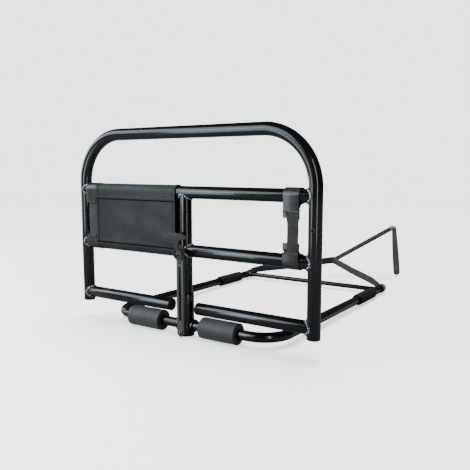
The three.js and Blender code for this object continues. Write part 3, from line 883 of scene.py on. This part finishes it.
def smooth_path(points, count):
    """Evenly spaced points on a smooth curve through the points given."""
    points = [Vector(p) for p in points]
    ends = [points[0] * 2 - points[1]] + points + [points[-1] * 2 - points[-2]]
    fine = []
    for p0, p1, p2, p3 in zip(ends, ends[1:], ends[2:], ends[3:]):
        square, cube = 2 * p0 - 5 * p1 + 4 * p2 - p3, 3 * p1 - p0 - 3 * p2 + p3
        for t in (i / 24 for i in range(24)):
            fine.append(0.5 * (2 * p1 + (p2 - p0) * t + square * t * t + cube * t ** 3))
    return resample(fine + [points[-1]], count)


def resample(points, count):
    lengths = measured(points)
    made, i = [], 0
    for k in range(count):
        want = lengths[-1] * k / (count - 1)
        while i < len(points) - 2 and lengths[i + 1] < want:
            i += 1
        span = max(lengths[i + 1] - lengths[i], 1e-9)
        made.append(points[i].lerp(points[i + 1], min(1, max(0, (want - lengths[i]) / span))))
    return made


def route_length(points):
    return measured(points)[-1]


def stitches(spots, normals, pitch, radius=0.35 * MM):
    """A row of thread stitches lying on a surface, along spots."""
    count = max(3, round(route_length(spots) / pitch) + 1)
    fine = resample(spots, count)
    rows = []
    for i in range(count - 1):
        here = normals[min(len(normals) - 1, round(i * (len(normals) - 1) / (count - 1)))]
        begin, end = fine[i], fine[i].lerp(fine[i + 1], 0.62)
        rise = here * radius * 0.6
        arch = [begin - rise, begin.lerp(end, 0.25) + rise, begin.lerp(end, 0.75) + rise, end - rise]
        rows.append(sweep(arch, ring(radius, 6), here.cross((end - begin).normalized())))
    return merged(rows)


WEB_HALF = 12.7 * MM
WEB_THICK = 1.9 * MM

# the strap's route, repeated from the CAD model, in metres
BRANCH = [(0.2570, 0.7430, 0.0260), (0.2435, 0.752, 0.030), (0.232, 0.762, 0.033), (0.214, 0.777, 0.036),
          (0.176, 0.808, 0.040), (0.120, 0.851, 0.046), (0.060, 0.898, 0.055), (0.013, 0.934, 0.062),
          (0.003, 0.942, 0.063)]
JUNCTION = Vector((0, 0.945, 0.063))
TAIL_FROM, TAIL_TO = Vector((0.006, 0.948, 0.066)), Vector((0.195, 1.048, 0.191))
TAIL_LEAN = -62                   # degrees from upright
TAIL_CORNER = 11 * MM             # the rounded corners of the hanging end
DROP_TOP, DROP_FOOT = Vector((0.207, 1.052, 0.200)), Vector((0.214, 1.088, 0.0025))
DROP_TURN = 33                    # degrees


def add_branches():
    for side, way in SIDES.items():
        route = smooth_path([(way * x, y, z) for x, y, z in BRANCH], 60)
        widths = [WEB_HALF * (0.8 + 0.2 * min(1, i / 8)) for i in range(60)]
        shape = strap(route, widths, WEB_THICK, Z)
        branch = piece(f"strap_branch_web_{side}", shape, WEBBING, "base", f"strap_branch_{side}", sharp=50)


def add_junction():
    """Where the two branches overlap and the tail is sewn on."""
    layers = []
    for depth, turn in ((-4.2, -24), (-1.4, 24), (1.4, -14), (4.2, 16)):
        way = Matrix.Rotation(radians(turn), 3, "Z") @ X
        at = JUNCTION + Y * depth * MM
        spots = [at + way * reach * MM for reach in (-10.5, -3.5, 3.5, 10.5)]
        layers.append(strap(spots, WEB_HALF, WEB_THICK * 1.15, Z))
    patch = piece("strap_junction_layers", merged(layers), WEBBING, "base", "strap_junction", sharp=50)
    corners = [Vector((x, -6.2, z)) for x, z in ((-8, -9), (8, -9), (8, 9), (-8, 9), (-8, -9), (8, 9))]
    sewn = stitches([JUNCTION + corner * MM for corner in corners], [-Y], 2.6 * MM)
    return [patch, piece("strap_junction_stitching", sewn, THREAD, "base")]


def add_tail(sewn_on):
    """The tail's straight run, the fold at its far end, and the doubled end that hangs from it."""
    along = (TAIL_TO - TAIL_FROM).normalized()
    leaning = Matrix.Rotation(radians(TAIL_LEAN), 3, along) @ (Z - along * along.z).normalized()
    facing = Vector((cos(radians(DROP_TURN)), sin(radians(DROP_TURN)), 0))
    turned = Matrix.Rotation(radians(38), 3, "Z") @ facing
    down = (DROP_FOOT - DROP_TOP).normalized()
    run = resample([TAIL_FROM, TAIL_TO], 26)
    fold = [TAIL_TO.lerp(DROP_TOP, 0.55) + Z * 1.5 * MM, DROP_TOP - Z * 3.0 * MM + facing * 1.5 * MM]
    route = run + fold + resample([DROP_TOP + down * 8 * MM, DROP_FOOT], 44)
    axes, widths = [], []
    for i, point in enumerate(route):
        fallen = min(1, max(0, (i - len(run) + 1) / 3))
        settle = min(1, max(0, (i - len(run) - 2) / 30))
        hanging = turned.lerp(facing, settle).normalized()
        if leaning.dot(hanging) < 0:
            hanging = -hanging
        axes.append(leaning.lerp(hanging, fallen).normalized())
        inside = max(0, TAIL_CORNER - (DROP_FOOT - point).length)
        shrink = TAIL_CORNER - sqrt(max(0, TAIL_CORNER ** 2 - inside ** 2))
        widths.append(WEB_HALF - min(shrink, TAIL_CORNER * 0.92))
    thicks = [WEB_THICK if i < len(run) else WEB_THICK * 1.75 for i in range(len(route))]
    shape = strap(route, widths, thicks, axes)
    tail = piece("strap_tail_web", shape, TAIL_WEB_PAINTED_LIGHT, "base", "strap_tail", "strap_drop", sharp=50)


def add_anchors():
    """Webbing wound twice round each side tube and sewn flat."""
    for side in SIDES:
        node = f"strap_anchor_{side}"
        begin, end = side_span(side, node)
        axis = (end - begin).normalized()
        length = (end - begin).length
        heights = ((0, 14.2), (0.6 * MM, 14.8), (length * 0.48, 14.9), (length * 0.5, 14.4),
                   (length * 0.52, 14.9), (length - 0.6 * MM, 14.8), (length, 14.2))
        profile = [(along, height * MM) for along, height in heights]
        profile = [(0, BASE_BORE)] + profile + [(length, BASE_BORE)]
        piece(f"anchor_wrap_{side}", lathe(profile, begin, axis), WEBBING, "base", node, sharp=50)


# ---- straps on the bars


FRONT_Y = 18.1 * MM
BEHIND_Y = 2.8 * MM - FRONT_Y     # the strap's back layer, behind its front one
LOOP_THICK = 1.7 * MM
LOOP_FLARE = 1.6 * MM
HIGH_HEM_Z, LOW_HEM_Z = 333 * MM, 244 * MM
BAND_TOP_Z, BAND_WAIST_Z, BAND_FOOT_Z = 342 * MM, 296 * MM, 238 * MM
KNEE_UP = 27 * MM
WRAPPED_PAST = 105                # degrees that a loop turns past the bar's back
TIP_PAST = 4.5 * MM


def loop_path(bar_z, tip_z, front_end_z):
    """Straight up the front from front_end_z, round the bar, and back behind the front layer to the tip."""
    way = 1 if tip_z > bar_z else -1
    steps = 34
    turns = [180 - (180 + WRAPPED_PAST) * i / steps for i in range(steps + 1)]
    wrap = [Vector((0, FRONT_Y * cos(t), bar_z - way * FRONT_Y * sin(t)))
            for t in map(radians, turns)]
    front = resample([Vector((0, -FRONT_Y - 0.3 * MM, front_end_z)), wrap[0]], 12)[:-1]
    knee = Vector((0, BEHIND_Y, bar_z + way * KNEE_UP))
    tip = Vector((0, BEHIND_Y, tip_z + way * TIP_PAST))
    back = resample([wrap[-1], knee, tip], 18)[1:]
    return front, wrap, back


def add_loop(name, node, bar_z, front_end_z):
    """A vinyl strap end folded over a bar, hemmed and stitched where its front layer holds the band."""
    lo, hi = low(node), high(node)
    tip_z = lo.z if front_end_z < bar_z else hi.z
    centre, half = X * (lo.x + hi.x) / 2, (hi.x - lo.x) / 2
    front, wrap, back = loop_path(bar_z, tip_z, front_end_z)
    route = [centre + p for p in front + wrap + back]
    widths = [half - 1.4 * MM] * len(front) + [half - 1.0 * MM] * len(wrap)
    widths += [half - 1.0 * MM + LOOP_FLARE * i / len(back) for i in range(len(back))]
    piece(name, strap(route, widths, LOOP_THICK, X), VINYL, "rail", node, sharp=50)
    way = (route[1] - route[0]).normalized()
    reach = half - 1.6 * MM

    def row(distance, rise):
        at = route[0] + way * distance - Y * rise
        return [at - X * reach, at + X * reach]

    hem = sweep(resample(row(2.6 * MM, 1.0 * MM), 8), flat_section(2.4 * MM, 1.0 * MM), way)
    piece(name + "_hem", hem, VINYL, "rail", sharp=50)
    # the loops' stitching uses the lit copy of the thread: painted light along the hem
    sewn = [stitches(row(d, 1.3 * MM), [-Y], 2.6 * MM, 0.3 * MM) for d in (1.2 * MM, 4.2 * MM, 14 * MM)]
    piece(name + "_stitching", merged(sewn), THREAD_PAINTED_LIGHT, "rail")


def add_bar_straps():
    for side, way in SIDES.items():
        add_loop(f"upper_loop_{side}", f"strap_loop_high_{side}", HIGH_BAR, HIGH_HEM_Z)
        add_loop(f"lower_loop_{side}", f"strap_loop_low_{side}", LOW_BAR, LOW_HEM_Z)
        node = f"strap_band_{side}"
        lo, hi = low(node), high(node)
        stretch = 1.6 * MM if side == "left" else 0
        x, half = (lo.x + hi.x) / 2 + stretch, (hi.x - lo.x) / 2 + stretch
        y = 1.6 * MM - FRONT_Y
        waist = Vector((x + 0.8 * MM * way, y, BAND_WAIST_Z))
        route = resample([Vector((x, y, BAND_TOP_Z)), waist, Vector((x, y, BAND_FOOT_Z))], 40)
        rng = random.Random(11 + way)
        widths = []
        for point in route:
            below_hem = HIGH_HEM_Z - 2 * MM - point.z
            taper = min(1, max(0, 1 - below_hem / (22 * MM)))
            widths.append(half - 0.8 * MM + 3.6 * MM * taper + rng.uniform(-0.3, 0.3) * MM)
        piece(f"elastic_band_{side}", strap(route, widths, 1.4 * MM, X), ELASTIC, "rail", node, sharp=50)
    spare_end()


def spare_end():
    """The left band's loose end, hanging at a slant beside it."""
    top = Vector((-333 * MM, -FRONT_Y + 1.0 * MM, HIGH_HEM_Z))
    drops = (-1.5, -1.2, -26), (-2.0, -2.0, -54), (1.0, -0.8, -82)
    route = smooth_path([top] + [top + Vector(drop) * MM for drop in drops], 26)
    across = [Vector((1, 0.25 + 0.5 * i / 25, 0.12)).normalized() for i in range(26)]
    piece("elastic_spare_end", strap(route, 3.6 * MM, 1.2 * MM, across), BLACK_AND_PAINTED_SHADOW, "rail", sharp=50)


# ---- cover

COVER_MID = 17.6 * MM
COVER_ROUND = 92                  # quads round the cover, and along the bars
COVER_ALONG = 60
COVER_THICK = 1.3 * MM
COVER_SPAN = HIGH_BAR - LOW_BAR
COVER_TURN = pi * COVER_MID  # half way round a bar
COVER_WHOLE = 2 * COVER_SPAN + 2 * COVER_TURN
CLOTH_FRAMES = 24
CLOTH_SLACK = 0.018
FOLD_SHARE = 0.3                  # how much of the simulated folds the stretched sling keeps


def cover_point(s):
    """The (y, z) point at distance s round the bars, starting up the back from its middle."""
    if s < COVER_SPAN / 2:
        return COVER_MID, (HIGH_BAR + LOW_BAR) / 2 + s
    s -= COVER_SPAN / 2
    if s < COVER_TURN:
        return COVER_MID * cos(s / COVER_MID), HIGH_BAR + COVER_MID * sin(s / COVER_MID)
    s -= COVER_TURN
    if s < COVER_SPAN:
        return -COVER_MID, HIGH_BAR - s
    s -= COVER_SPAN
    if s < COVER_TURN:
        turn = pi + s / COVER_MID
        return COVER_MID * cos(turn), LOW_BAR + COVER_MID * sin(turn)
    return COVER_MID, LOW_BAR + (s - COVER_TURN)


def cover_grid():
    x0, x1 = low("fabric_cover").x - 3.6 * MM, high("fabric_cover").x - 0.3 * MM
    profile = [cover_point(COVER_WHOLE * i / COVER_ROUND) for i in range(COVER_ROUND)]
    verts, faces = [], []
    for j in range(COVER_ALONG + 1):
        x = x0 + (x1 - x0) * j / COVER_ALONG
        verts += [Vector((x, y, z)) for y, z in profile]
    for a in range(0, COVER_ALONG * COVER_ROUND, COVER_ROUND):
        b = a + COVER_ROUND
        for i in range(COVER_ROUND):
            k = (i + 1) % COVER_ROUND
            faces.append((a + i, b + i, b + k, a + k))
    return verts, faces


def held_by_bars(point):
    """How firmly a point of the cover is held: 1 round the bars, 0 in the open panels."""
    from_bar = min(HIGH_BAR - point.z, point.z - LOW_BAR)
    return min(1, max(0, 1 - from_bar / (14 * MM)))


def simulate_cover(verts, faces):
    """Lets slightly oversized cloth settle between the bars, so that it buckles into soft folds."""
    rng = random.Random(5)
    cloth = solid("cover_cloth_sim", ([v + Y * rng.uniform(-0.3, 0.3) * MM for v in verts], faces))
    group = cloth.vertex_groups.new(name="held")
    for i, vert in enumerate(verts):
        if held_by_bars(vert) > 0:
            group.add([i], held_by_bars(vert), "REPLACE")
    step = cloth.modifiers.new("cloth", "CLOTH")
    settings = step.settings
    settings.vertex_group_mass = "held"
    settings.quality = 6
    settings.mass = 0.4
    settings.tension_stiffness = settings.compression_stiffness = 18
    settings.shear_stiffness = 8
    settings.bending_stiffness = 1.5
    settings.shrink_min = settings.shrink_max = -CLOTH_SLACK
    settings.air_damping = 4
    step.collision_settings.use_collision = False
    step.point_cache.frame_end = CLOTH_FRAMES
    scene = bpy.context.scene
    for frame_number in range(1, CLOTH_FRAMES + 1):
        scene.frame_set(frame_number)
    graph = bpy.context.evaluated_depsgraph_get()
    settled = [v.co.copy() for v in cloth.evaluated_get(graph).data.vertices]
    bpy.data.objects.remove(cloth)
    scene.frame_set(1)
    return settled


def tame(verts, settled):
    """Caps how far the cloth moved, and adds a hollow between the bars and soft diagonal drag lines."""
    cap = 4 * MM
    shaped = []
    for rest, moved in zip(verts, settled):
        between = sin(pi * min(1, max(0, (rest.z - LOW_BAR) / COVER_SPAN)))
        shift = (moved - rest) * FOLD_SHARE * min(1, 1.4 * between)
        shift.x = 0
        if shift.length > cap:
            shift *= cap / shift.length
        if abs(rest.y) > 0.9 * COVER_MID:
            shift.y -= copysign(0.6 * MM * between, rest.y)
            folds = noise.noise(Vector((rest.x * 16 + rest.z * 9, rest.z * 21, 3.1)))
            shift.y += 2.4 * MM * folds * between
        shaped.append(rest + shift)
    return shaped


def add_cover():
    verts, faces = cover_grid()
    settled = simulate_cover(verts, faces)
    shaped = tame(verts, settled)
    uvs = [(v.x, COVER_WHOLE * (i % COVER_ROUND) / COVER_ROUND) for i, v in enumerate(verts)]
    cover = piece("sling_cover", (shaped, faces, uvs), CLOTH, "rail", "fabric_cover")
    thicken = cover.modifiers.new("thick", "SOLIDIFY")
    thicken.thickness = COVER_THICK
    thicken.offset = 0
    finer = cover.modifiers.new("finer", "SUBSURF")
    finer.levels = finer.render_levels = 1
    apply_modifiers(cover)
    finish_mesh(cover, 60)
    dress(cover, CLOTH, "rail", "fabric_cover")
    trims = cover_trims(shaped)


def cover_lookup(shaped):
    """A function giving the cover's place at (x share, distance round)."""
    def vert(i, j):
        return shaped[min(max(j, 0), COVER_ALONG) * COVER_ROUND + i % COVER_ROUND]

    def at(share, around):
        u, v = share * COVER_ALONG, around / COVER_WHOLE * COVER_ROUND
        j, i = min(int(u), COVER_ALONG - 1), int(v)
        near = vert(i, j).lerp(vert(i + 1, j), v - i)
        far = vert(i, j + 1).lerp(vert(i + 1, j + 1), v - i)
        return near.lerp(far, u - j)

    return at


def front_distance(z):
    """Distance round the cover's profile to a height on its front sheet."""
    return COVER_SPAN / 2 + COVER_TURN + (HIGH_BAR - z)


FLAP_Z, FOOT_HEM_Z = 351.5 * MM, 222 * MM


def cover_trims(shaped):
    """The folded top flap, the hem, the edge binding, near-black strips along their edges that are painted
    shadow lines, and their stitching.
    """
    at = cover_lookup(shaped)
    lift = COVER_THICK / 2
    shares = [0.006 + 0.988 * i / 70 for i in range(71)]

    def along(z, rise):
        return [at(s, front_distance(z)) - Y * (lift + rise) for s in shares]

    layers = [sweep(along(z, 0.35 * MM), flat_section(half, 0.9 * MM), [Z] * len(shares))
              for z, half in ((FLAP_Z, 3.4 * MM), (FOOT_HEM_Z, 3.0 * MM))]
    # near-black strips below the flap's edge and above the hem: painted shadow lines where those edges cast
    # shade
    painted_shadow_lines = [strap(along(z, rise), half, 1.4 * MM, Z)
              for z, rise, half in ((346.2 * MM, 0.3 * MM, 1.3 * MM), (226.6 * MM, 1.6 * MM, 1.6 * MM))]
    rows = [stitches(along(z, 0.9 * MM), [-Y], 3.0 * MM, 0.3 * MM)
            for z in (353.5 * MM, 349.5 * MM, 223.5 * MM)]
    for share, inward in ((0.014, 1), (0.986, -1)):
        path = []
        for i in range(161):
            point = at(share, COVER_WHOLE * i / 160 % (COVER_WHOLE * 0.9999))
            path.append(point + cover_outward(point) * (lift + 0.3 * MM))
        layers.append(strap(path, 3.6 * MM, 0.9 * MM, X))
        # a near-black strip along each binding's inner edge: a painted shadow line
        painted_shadow_lines.append(strap([p + X * inward * 4.1 * MM for p in path], 0.6 * MM, 0.9 * MM, X))
        front = [p + cover_outward(p) * 0.5 * MM + X * inward * 2.2 * MM for p in path[50:130]]
        rows.append(stitches(front, [cover_outward(p) for p in front], 3.0 * MM, 0.3 * MM))
    return [piece("cover_hems", merged(layers), CLOTH, "rail", sharp=50),
            piece("cover_piping", merged(painted_shadow_lines), BLACK_AND_PAINTED_SHADOW, "rail", sharp=50),
            piece("cover_stitching", merged(rows), THREAD, "rail")]


def cover_outward(point):
    """The direction straight out of the sleeve's rounded outline."""
    if LOW_BAR < point.z < HIGH_BAR:
        return Y * copysign(1, point.y)
    bar_z = min(max(point.z, LOW_BAR), HIGH_BAR)
    return (point - Vector((point.x, 0, bar_z))).normalized()


# ---- hidden working parts, kept from the CAD model


def cad_object(node):
    return next(o for o in bpy.data.objects if o.name == node)


HIDDEN_WORKS = {
    "pivot_bush": NYLON, "pin_guide": NYLON, "spring_stop": PLASTIC, "post_foot": PLASTIC,
    "channel_spacer": PLASTIC, "pull_rod": DARK_STEEL, "cross_pin": DARK_STEEL, "lock_pin": ZINC,
    "lock_spring": DARK_STEEL,
}


def dress_hidden_works():
    for node, look in HIDDEN_WORKS.items():
        mesh = cad_object(node).data
        mesh.materials.clear()
        mesh.materials.append(look)


def squash_spring():
    """Gives the lock spring a mesh of its own. The spring shortens as the pin is drawn up, but nothing here
    makes it do so.
    """
    spring = cad_object("lock_spring")
    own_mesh(spring)


# ---- run

add_branches()
add_tail(add_junction())
add_anchors()
add_hoop()
add_bars()
add_welds()
add_plugs()
add_sleeve()
add_channel()
add_handle()
domed_bolt("foot_bolt", "channel_bolt", 5.0 * MM, 7.4 * MM, 0.6 * MM, "rail", 2.1 * MM, SEAT)
domed_bolt("grip_bolt", "handle_bolt", 5.8 * MM, 8.2 * MM, 6.0 * MM, "release", 1.2 * MM, BLACK)
add_base()
add_bar_straps()
add_cover()
dress_hidden_works()
squash_spring()

# ---- floor and lights


def add_floor():
    half, middle_y = 6.0, 0.5
    corners = [(x * half, middle_y + y * half, 0) for x, y in ((-1, -1), (1, -1), (1, 1), (-1, 1))]
    data = bpy.data.meshes.new("floor")
    data.from_pydata(corners, [], [(0, 1, 2, 3)])
    data.materials.append(floor_white())
    linked("floor", data)


def area_light(name, at, aim, size, radiance, colour):
    data = bpy.data.lights.new(name, "AREA")
    data.shape = "RECTANGLE"
    data.size, data.size_y = size
    data.energy = radiance * pi * size[0] * size[1]
    data.color = colour
    light = linked(name, data)
    light.location = at
    light.rotation_euler = (Vector(aim) - Vector(at)).to_track_quat("-Z", "Y").to_euler()
    light.visible_camera = False


BACKDROP = 2.9
AMBIENT = 0.6
AMBIENT_IN_GLOSS = 0.04


def add_world():
    """A white backdrop for the eye, soft fill for matt surfaces, and near darkness for reflections."""
    world = bpy.data.worlds.new("studio")
    world.use_nodes = True
    nodes, links = world.node_tree.nodes, world.node_tree.links
    rays = nodes.new("ShaderNodeLightPath")
    background = nodes["Background"]
    background.inputs["Color"].default_value = (0.96, 0.98, 1, 1)
    level = None
    for ray, value in (("Is Glossy Ray", AMBIENT_IN_GLOSS), ("Is Camera Ray", BACKDROP)):
        step = nodes.new("ShaderNodeMix")
        links.new(rays.outputs[ray], step.inputs["Factor"])
        step.inputs["B"].default_value = value
        if level:
            links.new(level, step.inputs["A"])
        else:
            step.inputs["A"].default_value = AMBIENT
        level = step.outputs["Result"]
    links.new(level, background.inputs["Strength"])
    bpy.context.scene.world = world


def overhead_light():
    """A broad, even light from above, like a large ceiling softbox."""
    data = bpy.data.lights.new("overhead", "SUN")
    data.energy = 5.0
    data.angle = radians(45)
    data.color = (1.0, 0.99, 0.97)
    light = linked("overhead", data)
    light.rotation_euler = (radians(-8), radians(-6), 0)
    light.visible_glossy = False


def add_lights():
    add_world()
    overhead_light()
    cool, warm = (0.76, 0.91, 1.0), (1.0, 0.88, 0.72)
    area_light("front_softbox", (-1.25, -1.42, 1.42), (-0.1, 0, 0.3), (2.8, 1.45), 3.4, cool)
    area_light("left_softbox", (-2.1, -0.1, 0.7), (-0.2, 0, 0.3), (1.6, 1.3), 2.0, (1.0, 0.96, 0.92))
    area_light("near_strip", (-0.45, -0.85, 0.42), (0.1, 0, 0.3), (0.45, 0.8), 3.6, cool)
    area_light("right_strip", (1.05, -0.66, 0.5), (0.36, 0, 0.35), (0.1, 1.0), 9.0, warm)


add_floor()
add_lights()
